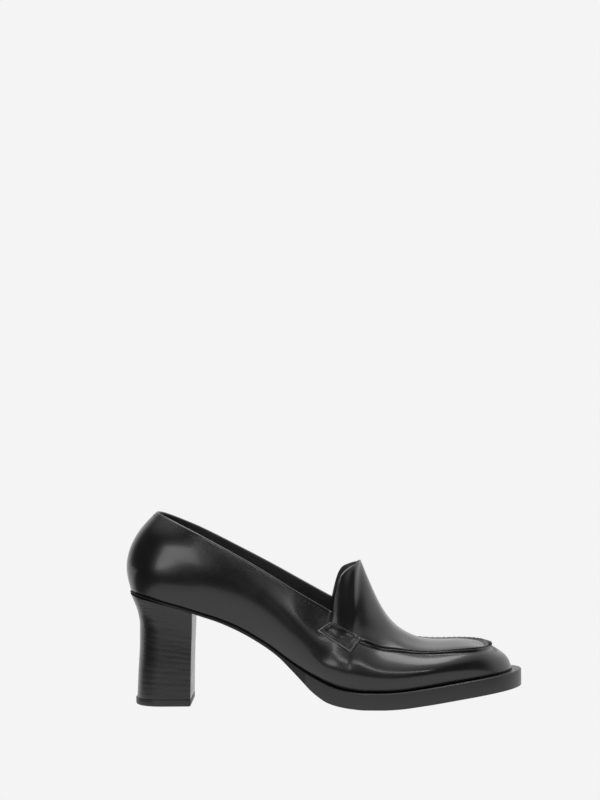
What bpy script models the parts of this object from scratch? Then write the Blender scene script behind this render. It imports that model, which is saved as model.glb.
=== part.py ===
"""A slip-on loafer pump with a block heel: right shoe, toe toward +X, outer side toward -Y."""

import bpy
import numpy as np

# Sizes in metres
SHOE_LENGTH = 0.2448
BALL_WIDTH = 0.088
SEAT_HEIGHT = 0.0702
TOE_SPRING = 0.0092
QUARTER_HEIGHT = 0.054
SOLE_THICKNESS = 0.0106
WALL = 0.0018
INSOLE_THICKNESS = 0.0022
SOLE_BEVEL = 0.0009
LIFT_THICKNESS = 0.0042
LIFT_BEVEL = 0.0005
HEEL_LENGTH = 0.0355
HEEL_WIDTH = 0.0408
SEAM_WIDTH = 0.0030
SEAM_RISE = 0.0012
TAB_THICKNESS = 0.0012
TAB_GAP = 0.0005
CLEARANCE = 0.0003

# The foot of the heel's top lift is centred on the origin
BACK_X = -0.0200
HALF_BALL = BALL_WIDTH / 2

# Underside and thickness of the outsole from the back to the toe
SOLE_COLUMNS = ("station", "lift", "spring", "thickness")
SOLE_LINE = (
    (0.000, 1.000, 0.000, 0.125),
    (0.041, 0.969, 0.000, 0.125),
    (0.082, 0.932, 0.000, 0.125),
    (0.135, 0.880, 0.000, 0.135),
    (0.176, 0.829, 0.000, 0.160),
    (0.229, 0.765, 0.000, 0.170),
    (0.280, 0.685, 0.000, 0.210),
    (0.331, 0.584, 0.000, 0.210),
    (0.383, 0.456, 0.000, 0.245),
    (0.413, 0.353, 0.000, 0.415),
    (0.444, 0.241, 0.000, 0.680),
    (0.465, 0.164, 0.000, 0.890),
    (0.486, 0.105, 0.000, 1.020),
    (0.507, 0.060, 0.000, 1.080),
    (0.537, 0.028, 0.000, 1.030),
    (0.568, 0.010, 0.000, 1.010),
    (0.605, 0.000, 0.000, 1.000),
    (0.650, 0.000, 0.000, 1.000),
    (0.694, 0.000, 0.055, 1.000),
    (0.743, 0.000, 0.205, 1.005),
    (0.794, 0.000, 0.375, 1.010),
    (0.841, 0.000, 0.535, 1.010),
    (0.892, 0.000, 0.690, 1.010),
    (0.943, 0.000, 0.840, 1.005),
    (1.000, 0.000, 1.000, 1.000),
)

# One row for each section of the upper, from the back round to the toe tip.
# Stations are shares of the length, sides of half the ball width, rises of the quarter height.
SECTION_COLUMNS = (
    "station", "lateral", "medial", "ledge", "belly", "belly_rise",
    "shoulder_at", "shoulder", "shoulder_rise", "crest_at", "crest", "crest_rise",
    "top_at", "top", "top_rise", "medial_rise", "medial_back",
)
SECTIONS = (
    (0.000, 0.000, 0.000, 0.010, 0.055, 0.260,
     0.002, 0.000, 0.500, 0.031, 0.000, 0.750, 0.070, 0.000, 0.980, 0.000, 0.000),
    (0.013, 0.273, 0.273, 0.010, 0.058, 0.260,
     0.015, 0.268, 0.510, 0.042, 0.245, 0.757, 0.079, 0.186, 0.984, -0.008, 0.000),
    (0.049, 0.473, 0.473, 0.010, 0.064, 0.260,
     0.053, 0.477, 0.526, 0.074, 0.427, 0.760, 0.106, 0.345, 0.970, -0.018, 0.000),
    (0.098, 0.559, 0.550, 0.010, 0.073, 0.260,
     0.102, 0.591, 0.524, 0.118, 0.545, 0.746, 0.143, 0.473, 0.941, -0.025, 0.000),
    (0.176, 0.573, 0.541, 0.010, 0.095, 0.260,
     0.180, 0.673, 0.524, 0.188, 0.636, 0.722, 0.196, 0.582, 0.902, -0.032, 0.000),
    (0.270, 0.573, 0.489, 0.010, 0.118, 0.260,
     0.272, 0.718, 0.480, 0.274, 0.691, 0.670, 0.276, 0.636, 0.845, -0.032, 0.000),
    (0.350, 0.609, 0.473, 0.012, 0.123, 0.270,
     0.351, 0.761, 0.463, 0.351, 0.723, 0.657, 0.353, 0.659, 0.842, -0.017, 0.000),
    (0.430, 0.720, 0.564, 0.025, 0.114, 0.260,
     0.433, 0.830, 0.440, 0.433, 0.755, 0.663, 0.437, 0.664, 0.870, 0.008, 0.003),
    (0.490, 0.825, 0.727, 0.045, 0.102, 0.220,
     0.498, 0.852, 0.430, 0.507, 0.750, 0.640, 0.521, 0.630, 0.842, 0.037, 0.009),
    (0.519, 0.875, 0.800, 0.052, 0.095, 0.200,
     0.523, 0.830, 0.485, 0.527, 0.716, 0.743, 0.528, 0.595, 1.030, 0.060, 0.005),
    (0.541, 0.905, 0.855, 0.056, 0.091, 0.190,
     0.543, 0.814, 0.522, 0.543, 0.670, 0.828, 0.540, 0.539, 1.225, 0.030, 0.002),
    (0.562, 0.930, 0.898, 0.058, 0.086, 0.180,
     0.564, 0.795, 0.540, 0.565, 0.602, 0.856, 0.563, 0.409, 1.362, -0.010, 0.000),
    (0.582, 0.952, 0.936, 0.060, 0.080, 0.180,
     0.586, 0.773, 0.580, 0.588, 0.511, 0.906, 0.592, 0.000, 1.448, 0.000, 0.000),
    (0.609, 0.975, 0.977, 0.060, 0.073, 0.180,
     0.613, 0.750, 0.560, 0.613, 0.443, 0.867, 0.611, 0.000, 1.230, 0.000, 0.000),
    (0.641, 0.991, 1.005, 0.060, 0.068, 0.180,
     0.645, 0.727, 0.505, 0.640, 0.386, 0.760, 0.634, 0.000, 0.990, 0.000, 0.000),
    (0.678, 0.995, 1.011, 0.060, 0.064, 0.170,
     0.684, 0.705, 0.465, 0.674, 0.364, 0.635, 0.663, 0.000, 0.765, 0.000, 0.000),
    (0.723, 0.982, 1.002, 0.060, 0.059, 0.170,
     0.731, 0.682, 0.412, 0.717, 0.352, 0.515, 0.703, 0.000, 0.595, 0.000, 0.000),
    (0.776, 0.939, 0.959, 0.062, 0.055, 0.170,
     0.784, 0.648, 0.372, 0.770, 0.330, 0.432, 0.756, 0.000, 0.468, 0.000, 0.000),
    (0.833, 0.848, 0.877, 0.066, 0.041, 0.170,
     0.833, 0.595, 0.352, 0.821, 0.295, 0.404, 0.809, 0.000, 0.424, 0.000, 0.000),
    (0.886, 0.730, 0.775, 0.070, 0.020, 0.160,
     0.876, 0.500, 0.331, 0.864, 0.250, 0.378, 0.854, 0.000, 0.394, 0.000, 0.000),
    (0.933, 0.580, 0.640, 0.085, -0.010, 0.150,
     0.902, 0.352, 0.316, 0.890, 0.182, 0.348, 0.878, 0.000, 0.361, 0.000, 0.000),
    (0.973, 0.370, 0.450, 0.112, -0.050, 0.140,
     0.914, 0.186, 0.300, 0.902, 0.095, 0.328, 0.892, 0.000, 0.340, 0.000, 0.000),
    (1.000, -0.045, 0.045, 0.132, -0.065, 0.130,
     0.918, -0.020, 0.292, 0.906, 0.000, 0.319, 0.896, 0.000, 0.333, 0.000, 0.000),
)
JUNCTION = 8
PEAK = 12
TOE = len(SECTIONS) - 1

# How far the inner side follows the narrower waist, and the inner edge's extra rise
SHOULDER_FOLLOW = 0.6
CREST_FOLLOW = 0.2
SHOULDER_EXTRA = 0.25
CREST_EXTRA = 0.5

# Part of the tongue's width, in shares of half the ball width, that rounds over level at its middle
PEAK_WIDTH = 0.5

# Heel sections from the lift up; runs and sides are shares of the heel's foot
HEEL_COLUMNS = ("height", "back", "breast", "side")
HEEL_SECTIONS = (
    (0.00, -0.472, 0.507, 1.000),
    (0.25, -0.444, 0.517, 0.993),
    (0.55, -0.408, 0.535, 1.000),
    (0.72, -0.403, 0.548, 1.030),
    (0.83, -0.432, 0.556, 1.075),
    (0.92, -0.492, 0.562, 1.130),
    (1.00, -0.556, 0.566, 1.190),
)
HEEL_ROUND = 2.3
HEEL_ROUND_SHARE = 0.55
HEEL_TURN_POINTS = 13
HEEL_TURN_CROWDING = 1.4
HEEL_STRAIGHT_POINTS = 6

# The top lift stands out from the heel's foot by these shares of its run and half width
LIFT_BACK_OUT = 0.022
LIFT_SIDE_OUT = 0.010

# Corners of the side tab: share of the length and rise over the sole, seen from the side
TAB_CORNERS = ((0.5225, 0.745), (0.484, 0.565), (0.569, 0.450), (0.598, 0.625))
TAB_START = (8.5, 2.6)
TAB_GRID = (11, 7)

# Half section of the rolled seam: side in shares of its width, rise in shares of its height
SEAM_SHAPE = ((-0.5, 0.0), (-0.42, 0.55), (-0.2, 0.92), (0.2, 0.92), (0.42, 0.55), (0.5, 0.0))

# Fineness of the upper's grid, and the short steps that its slopes are taken over
RING_STEP = SHOE_LENGTH / 47
STEPS_UP = (3, 4, 3, 4)
SLOPE_STEP = SHOE_LENGTH / 600
SLOPE_UP = 0.01
SAME_PLACE = 1e-9

# The search for a place on the wall: rounds, longest steps, lowest and highest level
SEARCH_ROUNDS = 12
SEARCH_STEP = SHOE_LENGTH / 40
SEARCH_UP = 0.4
SEARCH_LEVELS = (0.1, 3.9)


def column(rows, names, name):
    return np.array([row[names.index(name)] for row in rows])


def monotone(knots, values, at):
    """Cubic through the knots that never overshoots them."""
    step = np.diff(knots)
    slope = np.diff(values) / step
    tangent = np.zeros(len(knots))
    tangent[0], tangent[-1] = slope[0], slope[-1]
    for i in range(1, len(knots) - 1):
        if slope[i - 1] * slope[i] > 0:
            before = 2 * step[i] + step[i - 1]
            after = step[i] + 2 * step[i - 1]
            tangent[i] = (before + after) / (before / slope[i - 1] + after / slope[i])
    at = np.clip(at, knots[0], knots[-1])
    i = np.clip(np.searchsorted(knots, at, side="right") - 1, 0, len(knots) - 2)
    t = (at - knots[i]) / step[i]
    return (
        values[i] * (1 + 2 * t) * (1 - t) ** 2
        + tangent[i] * step[i] * t * (1 - t) ** 2
        + values[i + 1] * t * t * (3 - 2 * t)
        + tangent[i + 1] * step[i] * t * t * (t - 1)
    )


def spline(knots, values, at):
    """Natural cubic spline through rows of points."""
    n = len(knots)
    step = np.diff(knots)
    matrix = np.eye(n)
    right = np.zeros((n, values.shape[1]))
    for i in range(1, n - 1):
        matrix[i, i - 1], matrix[i, i + 1] = step[i - 1], step[i]
        matrix[i, i] = 2 * (step[i - 1] + step[i])
        change = (values[i + 1] - values[i]) / step[i] - (values[i] - values[i - 1]) / step[i - 1]
        right[i] = 6 * change
    bend = np.linalg.solve(matrix, right)
    at = np.atleast_1d(at)
    i = np.clip(np.searchsorted(knots, at, side="right") - 1, 0, n - 2)
    h = step[i][:, None]
    a = (knots[i + 1] - at)[:, None] / h
    b = 1 - a
    return (
        a * values[i]
        + b * values[i + 1]
        + ((a**3 - a) * bend[i] + (b**3 - b) * bend[i + 1]) * h * h / 6
    )


def sole_under(x):
    share = (x - BACK_X) / SHOE_LENGTH
    stations = column(SOLE_LINE, SOLE_COLUMNS, "station")
    lift = monotone(stations, column(SOLE_LINE, SOLE_COLUMNS, "lift"), share)
    spring = monotone(stations, column(SOLE_LINE, SOLE_COLUMNS, "spring"), share)
    return lift * SEAT_HEIGHT + spring * TOE_SPRING


def sole_top(x):
    share = (x - BACK_X) / SHOE_LENGTH
    stations = column(SOLE_LINE, SOLE_COLUMNS, "station")
    thickness = monotone(stations, column(SOLE_LINE, SOLE_COLUMNS, "thickness"), share)
    return sole_under(x) + thickness * SOLE_THICKNESS


def section(name):
    return column(SECTIONS, SECTION_COLUMNS, name)


def loop(lateral, medial):
    """Rows of both sides as one ring: lateral from back to toe, then medial back again."""
    return np.concatenate([lateral, medial[-2:0:-1]])


def point_rows(at, side, rise):
    x = BACK_X + at * SHOE_LENGTH
    return np.stack([x, side * HALF_BALL, sole_top(x) + rise * QUARTER_HEIGHT], axis=1)


def plan_outline(side):
    x = BACK_X + section("station") * SHOE_LENGTH
    return np.stack([x, section(side) * HALF_BALL * (-1 if side == "lateral" else 1)], axis=1)


OUTLINE = loop(plan_outline("lateral"), plan_outline("medial"))
ROWS = len(OUTLINE)


def ring_knots():
    """Spacing of the sections round the ring, the same on both sides."""
    lengths = np.linalg.norm(np.diff(np.vstack([OUTLINE, OUTLINE[:1]]), axis=0), axis=1)
    even = (lengths + lengths[::-1]) / 2
    return np.concatenate([[0], np.cumsum(even)])


KNOTS = ring_knots()
WRAP = 5


def round_ring(values, at):
    """Smooth closed curve through one row of values for each section of the ring."""
    low = KNOTS[-WRAP - 1:-1] - KNOTS[-1]
    high = KNOTS[1:WRAP + 1] + KNOTS[-1]
    knots = np.concatenate([low, KNOTS, high])
    rows = np.concatenate([values[-WRAP:], values, values[:1], values[1:WRAP + 1]])
    return spline(knots, rows, at)


def outline_at(at, inset):
    """Outline of the sole drawn in by an inset given for each place."""
    here = round_ring(OUTLINE, at)
    along = round_ring(OUTLINE, at + SLOPE_STEP) - round_ring(OUTLINE, at - SLOPE_STEP)
    along /= np.linalg.norm(along, axis=1)[:, None]
    inward = np.stack([-along[:, 1], along[:, 0]], axis=1)
    return here + inward * np.reshape(inset, (-1, 1))


def ring_value(name, at):
    values = section(name)
    return round_ring(loop(values, values)[:, None], at)[:, 0]


def shell_rows():
    """Feather, belly, shoulder, crest and top of every section, lateral then medial."""
    sides = {}
    for side, sign in (("lateral", -1), ("medial", 1)):
        ratio = np.ones(TOE + 1)
        if side == "medial":
            ratio[1:TOE] = section("medial")[1:TOE] / section("lateral")[1:TOE]
        extra = section("medial_rise") if side == "medial" else 0
        back = section("medial_back") if side == "medial" else 0
        shoulder = section("shoulder") * sign * (1 + SHOULDER_FOLLOW * (ratio - 1))
        crest = section("crest") * sign * (1 + CREST_FOLLOW * (ratio - 1))
        sides[side] = (
            point_rows(section("shoulder_at"), shoulder, section("shoulder_rise") + extra * SHOULDER_EXTRA),
            point_rows(section("crest_at"), crest, section("crest_rise") + extra * CREST_EXTRA),
            point_rows(section("top_at") - back, section("top") * sign, section("top_rise") + extra),
        )
    return [loop(sides["lateral"][k], sides["medial"][k]) for k in range(3)]


SHOULDERS, CRESTS, TOPS = shell_rows()


def top_line(at):
    """Collar, tongue edge and centre ridge with corners between, and how level each ends."""
    n = ROWS
    tops = np.vstack([TOPS, TOPS[:1]])
    result = np.zeros((len(at), 3))
    back = np.concatenate([KNOTS[n - JUNCTION:n] - KNOTS[-1], KNOTS[:JUNCTION + 1]])
    back_rows = np.concatenate([tops[n - JUNCTION:n], tops[:JUNCTION + 1]])
    wrapped = np.where(at > KNOTS[-1] / 2, at - KNOTS[-1], at)
    collar = np.abs(wrapped) <= KNOTS[JUNCTION] + SAME_PLACE
    result[collar] = spline(back, back_rows, wrapped[collar])
    far_knots = 2 * KNOTS[PEAK] - KNOTS[JUNCTION:PEAK][::-1]
    edge_knots = np.concatenate([KNOTS[JUNCTION:PEAK + 1], far_knots])
    medial_edge = tops[n - PEAK + 1:n - JUNCTION + 1]
    edge_rows = np.concatenate([tops[JUNCTION:PEAK + 1], medial_edge])
    edge = (~collar) & (np.abs(wrapped) < KNOTS[PEAK] - SAME_PLACE)
    place = np.where(wrapped > 0, wrapped, 2 * KNOTS[PEAK] + wrapped)
    result[edge] = spline(edge_knots, edge_rows, place[edge])
    ridge = ~(collar | edge)
    place = np.where(at > KNOTS[TOE], KNOTS[-1] - at, at)
    result[ridge] = spline(KNOTS[PEAK:TOE + 1], tops[PEAK:TOE + 1], place[ridge])
    flat = np.clip(1 - np.abs(result[:, 1]) / (PEAK_WIDTH * HALF_BALL), 0, 1)
    return result, np.where(ridge, 1.0, np.where(collar, 0.0, flat * flat * (3 - 2 * flat)))


def guides(at):
    """Five points of the section at each place round the ring, and one past the top."""
    at = np.mod(np.atleast_1d(at), KNOTS[-1])
    foot = outline_at(at, ring_value("ledge", at) * HALF_BALL)
    feather = np.column_stack([foot, sole_top(foot[:, 0]) + CLEARANCE])
    out = outline_at(at, (ring_value("ledge", at) - ring_value("belly", at)) * HALF_BALL)
    belly = np.column_stack([out, feather[:, 2] + ring_value("belly_rise", at) * QUARTER_HEIGHT])
    shoulder = round_ring(SHOULDERS, at)
    crest = round_ring(CRESTS, at)
    top, level = top_line(at)
    past = 2 * top - crest
    past[:, 2] += level * (crest[:, 2] - past[:, 2])
    return np.stack([feather, belly, shoulder, crest, top, past], axis=1)


def upper_surface(at, up):
    """Outer surface of the upper: place round the ring, height from feather 0 to top 4."""
    points = guides(at)
    result = np.zeros((len(points), 3))
    for i, row in enumerate(points):
        knots = np.concatenate([[0], np.cumsum(np.linalg.norm(np.diff(row, axis=0), axis=1))])
        k = min(int(up[i]), 3)
        place = knots[k] + (up[i] - k) * (knots[k + 1] - knots[k])
        result[i] = spline(knots, row, place)[0]
    return result


def ring_places(step):
    """Places round half the ring, the sections among them, close enough for foot and top."""
    places = [0.0]
    for k in range(TOE):
        span = KNOTS[k + 1] - KNOTS[k]
        rise = np.linalg.norm(TOPS[k + 1] - TOPS[k])
        count = max(1, int(round(max(span, rise) / step)))
        places += list(KNOTS[k] + span * np.arange(1, count + 1) / count)
    return np.array(places)


HALF_RING = ring_places(RING_STEP)
RING = np.concatenate([HALF_RING, (KNOTS[-1] - HALF_RING[1:-1])[::-1]])


def vertex_normals(points, faces):
    normals = np.zeros_like(points)
    for face in faces:
        corners = points[list(face)]
        total = np.zeros(3)
        for i in range(1, len(face) - 1):
            total += np.cross(corners[i] - corners[0], corners[i + 1] - corners[0])
        for index in face:
            normals[index] += total
    return normals / np.linalg.norm(normals, axis=1)[:, None]


def upper_shell():
    """Outer and inner skins of the upper with rims at collar, tongue and feather."""
    ups = [0.0]
    for k, steps in enumerate(STEPS_UP):
        ups += list(k + np.arange(1, steps + 1) / steps)
    count, levels = len(RING), len(ups)
    half = len(HALF_RING)
    grid = np.zeros((count, levels, 3))
    for j, up in enumerate(ups):
        grid[:, j] = upper_surface(RING, np.full(count, up))
    grid[:, 0, 2] = sole_top(grid[:, 0, 0]) + CLEARANCE
    peak = int(np.argmin(np.abs(HALF_RING - KNOTS[PEAK])))
    index = np.arange(count * levels).reshape(count, levels)
    for i in range(peak, half):
        mirror = (count - i) % count
        index[mirror, -1] = index[i, -1]
    faces = []
    for i in range(count):
        after = (i + 1) % count
        for j in range(levels - 1):
            face = [index[i, j], index[after, j], index[after, j + 1], index[i, j + 1]]
            face = [v for n, v in enumerate(face) if v != face[n - 1]]
            if len(set(face)) > 2:
                faces.append(face)
    points = grid.reshape(-1, 3)
    used = sorted({v for face in faces for v in face})
    renumber = {v: n for n, v in enumerate(used)}
    points = points[used]
    faces = [[renumber[v] for v in face] for face in faces]
    normals = vertex_normals(points, faces)
    inner = points - normals * WALL
    feet = [renumber[index[i, 0]] for i in range(count)]
    for v in feet:
        flat = normals[v] * (1, 1, 0)
        inner[v] = points[v] - flat / np.linalg.norm(flat) * WALL
        inner[v, 2] = sole_top(inner[v, 0]) + CLEARANCE
    shift = len(points)
    all_faces = list(faces) + [[v + shift for v in face[::-1]] for face in faces]
    seen = {(a, b) for face in faces for a, b in zip(face, face[1:] + face[:1])}
    for a, b in seen:
        if (b, a) not in seen:
            all_faces.append([b, a, a + shift, b + shift])
    return np.vstack([points, inner]), all_faces


def add_piece(name, points, faces, material):
    mesh = bpy.data.meshes.new(name)
    mesh.from_pydata([tuple(p) for p in points], [], [tuple(int(v) for v in f) for f in faces])
    mesh.validate()
    mesh.update()
    for polygon in mesh.polygons:
        polygon.use_smooth = True
    piece = bpy.data.objects.new(name, mesh)
    mesh.materials.append(material)
    COLLECTION.objects.link(piece)
    return piece


def stacked(rings, count):
    """Closed solid from rings of the same count, capped with rungs between opposite points."""
    points = np.vstack(rings)
    faces = []
    for k in range(len(rings) - 1):
        for i in range(count):
            after = (i + 1) % count
            faces.append([k * count + i, k * count + after, (k + 1) * count + after, (k + 1) * count + i])
    top = (len(rings) - 1) * count
    for i in range(count // 2):
        low = [i, i + 1, (count - i - 1) % count, (count - i) % count]
        low = [v for n, v in enumerate(low) if v != low[n - 1]]
        faces.append(low[::-1])
        faces.append([v + top for v in low])
    return points, faces


def sole_ring(inset, height):
    ring = outline_at(RING, inset)
    return np.column_stack([ring, height(ring[:, 0])])


def outsole():
    count = len(RING)
    zero = np.zeros(count)
    drawn = zero + SOLE_BEVEL

    def lower(x):
        return sole_under(x) + SOLE_BEVEL

    return stacked([
        sole_ring(drawn, sole_under), sole_ring(zero, lower), sole_ring(zero, sole_top),
    ], count)


def insole():
    lean = np.maximum(0, -ring_value("belly", RING)) * HALF_BALL
    inset = ring_value("ledge", RING) * HALF_BALL + WALL + 2 * CLEARANCE + lean

    def under(x):
        return sole_top(x) + CLEARANCE

    def over(x):
        return sole_top(x) + CLEARANCE + INSOLE_THICKNESS

    return stacked([sole_ring(inset, under), sole_ring(inset, over)], len(RING))


def heel_ring(back, breast, side, inset, height):
    """D-shaped ring: a rounded back and a straight breast, opposite points level in length."""
    back, breast = back * HEEL_LENGTH + inset, breast * HEEL_LENGTH - inset
    side = side * HEEL_WIDTH / 2 - inset
    run = (breast - back) * HEEL_ROUND_SHARE
    turn = np.linspace(0, 1, HEEL_TURN_POINTS) ** HEEL_TURN_CROWDING
    straight = np.linspace(back + run, breast, HEEL_STRAIGHT_POINTS)
    x = np.concatenate([back + run * turn, straight[1:]])
    reach = np.clip((back + run - x) / run, 0, 1)
    y = side * (1 - reach**HEEL_ROUND) ** (1 / HEEL_ROUND)
    lateral = np.stack([x, -y], axis=1)
    ring = np.concatenate([lateral, (lateral * (1, -1))[:0:-1]])
    return np.column_stack([ring, height(ring[:, 0])])


def heel():
    base = LIFT_THICKNESS + CLEARANCE
    rings = []
    for row in HEEL_SECTIONS:
        share, back, breast, side = (row[HEEL_COLUMNS.index(name)] for name in HEEL_COLUMNS)

        def level(x, share=share):
            return base + share * (sole_under(x) - CLEARANCE - base)

        rings.append(heel_ring(back, breast, side, 0, level))
    return stacked(rings, len(rings[0]))


def top_lift():
    _, back, breast, side = HEEL_SECTIONS[0]
    rings = []
    for inset, height in ((LIFT_BEVEL, 0), (0, LIFT_BEVEL), (0, LIFT_THICKNESS)):
        def level(x, z=height):
            return np.full(len(x), z)

        rings.append(heel_ring(back - LIFT_BACK_OUT, breast, side + LIFT_SIDE_OUT, inset, level))
    return stacked(rings, len(rings[0]))


def surface_frame(at, up):
    """Points, outward normals and directions round the ring and up the wall."""
    points = upper_surface(at, up)
    along = upper_surface(at + SLOPE_STEP, up) - upper_surface(at - SLOPE_STEP, up)
    rise = upper_surface(at, up + SLOPE_UP) - upper_surface(at, up - SLOPE_UP)
    along /= np.linalg.norm(along, axis=1)[:, None]
    rise /= np.linalg.norm(rise, axis=1)[:, None]
    normal = np.cross(along, rise)
    normal /= np.linalg.norm(normal, axis=1)[:, None]
    return points, normal, along


def apron_seam():
    """Rolled seam that runs from one tab round the toe to the other."""
    first = int(np.argmin(np.abs(HALF_RING - KNOTS[PEAK + 1])))
    places = RING[first:len(RING) - first + 1]
    points, normal, along = surface_frame(places, np.full(len(places), 2.0))
    across = np.cross(normal, along)
    rings = []
    for side, rise in SEAM_SHAPE:
        rings.append(points + across * side * SEAM_WIDTH + normal * (CLEARANCE + rise * SEAM_RISE))
    grid = np.stack(rings, axis=1)
    return tube(grid)


def tube(grid):
    """Closed solid along rows of a ring-shaped section."""
    count, around = grid.shape[:2]
    points = grid.reshape(-1, 3)
    faces = []
    for i in range(count - 1):
        for j in range(around):
            after = (j + 1) % around
            faces.append([
                i * around + j, i * around + after, (i + 1) * around + after, (i + 1) * around + j,
            ])
    faces.append(list(range(around))[::-1])
    faces.append([(count - 1) * around + j for j in range(around)])
    return points, faces


def on_wall(x, z, side):
    """Places on one side's wall whose points have these lengths and heights."""
    sign = -1 if side == "medial" else 1
    section_knots = KNOTS[:TOE + 1]
    at = np.full(len(x), np.interp(TAB_START[0], np.arange(TOE + 1), section_knots)) * sign
    up = np.full(len(x), TAB_START[1])
    for _ in range(SEARCH_ROUNDS):
        here = upper_surface(at, up)
        by_at = (upper_surface(at + SLOPE_STEP, up) - here) / SLOPE_STEP
        by_up = (upper_surface(at, up + SLOPE_UP) - here) / SLOPE_UP
        miss_x, miss_z = x - here[:, 0], z - here[:, 2]
        area = by_at[:, 0] * by_up[:, 2] - by_up[:, 0] * by_at[:, 2]
        step_at = (miss_x * by_up[:, 2] - miss_z * by_up[:, 0]) / area
        step_up = (miss_z * by_at[:, 0] - miss_x * by_at[:, 2]) / area
        at = at + np.clip(step_at, -SEARCH_STEP, SEARCH_STEP)
        up = np.clip(up + np.clip(step_up, -SEARCH_UP, SEARCH_UP), *SEARCH_LEVELS)
    return at, up


def tab(side):
    """Side tab laid on the quarter, a thin plate that follows the wall."""
    across, down = TAB_GRID
    corners = np.array(TAB_CORNERS)
    x = BACK_X + corners[:, 0] * SHOE_LENGTH
    corners = np.column_stack([x, sole_top(x) + corners[:, 1] * QUARTER_HEIGHT])
    top_back, low_back, low_front, top_front = corners
    places = []
    for a in np.linspace(0, 1, across):
        for b in np.linspace(0, 1, down):
            upper = top_back * (1 - a) + top_front * a
            lower = low_back * (1 - a) + low_front * a
            places.append(upper * (1 - b) + lower * b)
    places = np.array(places)
    at, up = on_wall(places[:, 0], places[:, 1], side)
    points, normal, _ = surface_frame(at, up)
    under = points + normal * TAB_GAP
    over = points + normal * (TAB_GAP + TAB_THICKNESS)
    index = np.arange(across * down).reshape(across, down)
    shift = across * down
    faces = []
    for i in range(across - 1):
        for j in range(down - 1):
            face = [index[i, j], index[i, j + 1], index[i + 1, j + 1], index[i + 1, j]]
            faces.append([v + shift for v in face])
            faces.append(face[::-1])
    border = list(index[:, 0]) + list(index[-1, 1:]) + list(index[-2::-1, -1]) + list(index[0, -2:0:-1])
    for a, b in zip(border, border[1:] + border[:1]):
        faces.append([b, a, a + shift, b + shift])
    if side == "medial":
        faces = [face[::-1] for face in faces]
    return np.vstack([under, over]), faces


def make_material(name, color, roughness, coat):
    material = bpy.data.materials.new(name)
    material.use_nodes = True
    shader = material.node_tree.nodes["Principled BSDF"]
    shader.inputs["Base Color"].default_value = (*color, 1)
    shader.inputs["Roughness"].default_value = roughness
    shader.inputs["Coat Weight"].default_value = coat
    return material


def outward(points, faces):
    """The faces turned so that the solid's volume is positive."""
    volume = 0.0
    for face in faces:
        for i in range(1, len(face) - 1):
            volume += np.dot(points[face[0]], np.cross(points[face[i]], points[face[i + 1]]))
    return faces if volume > 0 else [list(face)[::-1] for face in faces]


for old in list(bpy.data.objects):
    bpy.data.objects.remove(old)
COLLECTION = bpy.data.collections.new("loafer_pump")
bpy.context.scene.collection.children.link(COLLECTION)

BLACK = (0.014, 0.014, 0.015)
PIECES = (
    ("outsole", outsole, "sole_rubber", (0.030, 0.030, 0.032), 0.5, 0.0),
    ("heel", heel, "heel_leather", (0.022, 0.022, 0.024), 0.35, 0.2),
    ("top_lift", top_lift, "lift_rubber", (0.025, 0.025, 0.026), 0.6, 0.0),
    ("insole", insole, "sock_leather", (0.020, 0.020, 0.021), 0.6, 0.0),
    ("upper", upper_shell, "upper_leather", BLACK, 0.25, 0.5),
    ("apron_seam", apron_seam, "seam_leather", BLACK, 0.3, 0.4),
    ("tab_lateral", lambda: tab("lateral"), "outer_tab_leather", BLACK, 0.3, 0.4),
    ("tab_medial", lambda: tab("medial"), "inner_tab_leather", BLACK, 0.3, 0.4),
)
for piece_name, build_piece, slot, color, roughness, coat in PIECES:
    piece_points, piece_faces = build_piece()
    slot_material = make_material(slot, color, roughness, coat)
    add_piece(piece_name, piece_points, outward(piece_points, piece_faces), slot_material)
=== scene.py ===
"""The loafer pump dressed: polished calf upper, lined, on a rubber sole and a stacked heel."""

import math

import bmesh
import bpy
import numpy as np
from mathutils import Matrix, Vector


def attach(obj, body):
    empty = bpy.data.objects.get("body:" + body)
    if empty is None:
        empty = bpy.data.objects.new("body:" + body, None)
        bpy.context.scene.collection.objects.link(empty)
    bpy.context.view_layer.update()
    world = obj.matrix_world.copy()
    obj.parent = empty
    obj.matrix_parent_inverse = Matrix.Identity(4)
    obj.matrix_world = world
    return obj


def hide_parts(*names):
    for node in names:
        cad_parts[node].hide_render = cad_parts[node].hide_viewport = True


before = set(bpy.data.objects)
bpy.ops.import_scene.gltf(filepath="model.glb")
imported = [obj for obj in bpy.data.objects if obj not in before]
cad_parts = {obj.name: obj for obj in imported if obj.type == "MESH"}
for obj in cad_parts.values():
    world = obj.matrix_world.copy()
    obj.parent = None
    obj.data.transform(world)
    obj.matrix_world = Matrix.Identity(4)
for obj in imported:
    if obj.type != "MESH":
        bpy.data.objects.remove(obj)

# Sizes in metres
SHOE_LENGTH = 0.2448
BALL_WIDTH = 0.088
SEAT_HEIGHT = 0.0702
TOE_SPRING = 0.0092
QUARTER_HEIGHT = 0.054
SOLE_THICKNESS = 0.0106
WALL = 0.0018
INSOLE_THICKNESS = 0.0022
LIFT_THICKNESS = 0.0042
HEEL_LENGTH = 0.0355
HEEL_WIDTH = 0.0408
TAB_THICKNESS = 0.0012
TAB_GAP = 0.0005
CLEARANCE = 0.0003

# The foot of the heel's top lift is centred on the origin
BACK_X = -0.0200
HALF_BALL = BALL_WIDTH / 2

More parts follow.
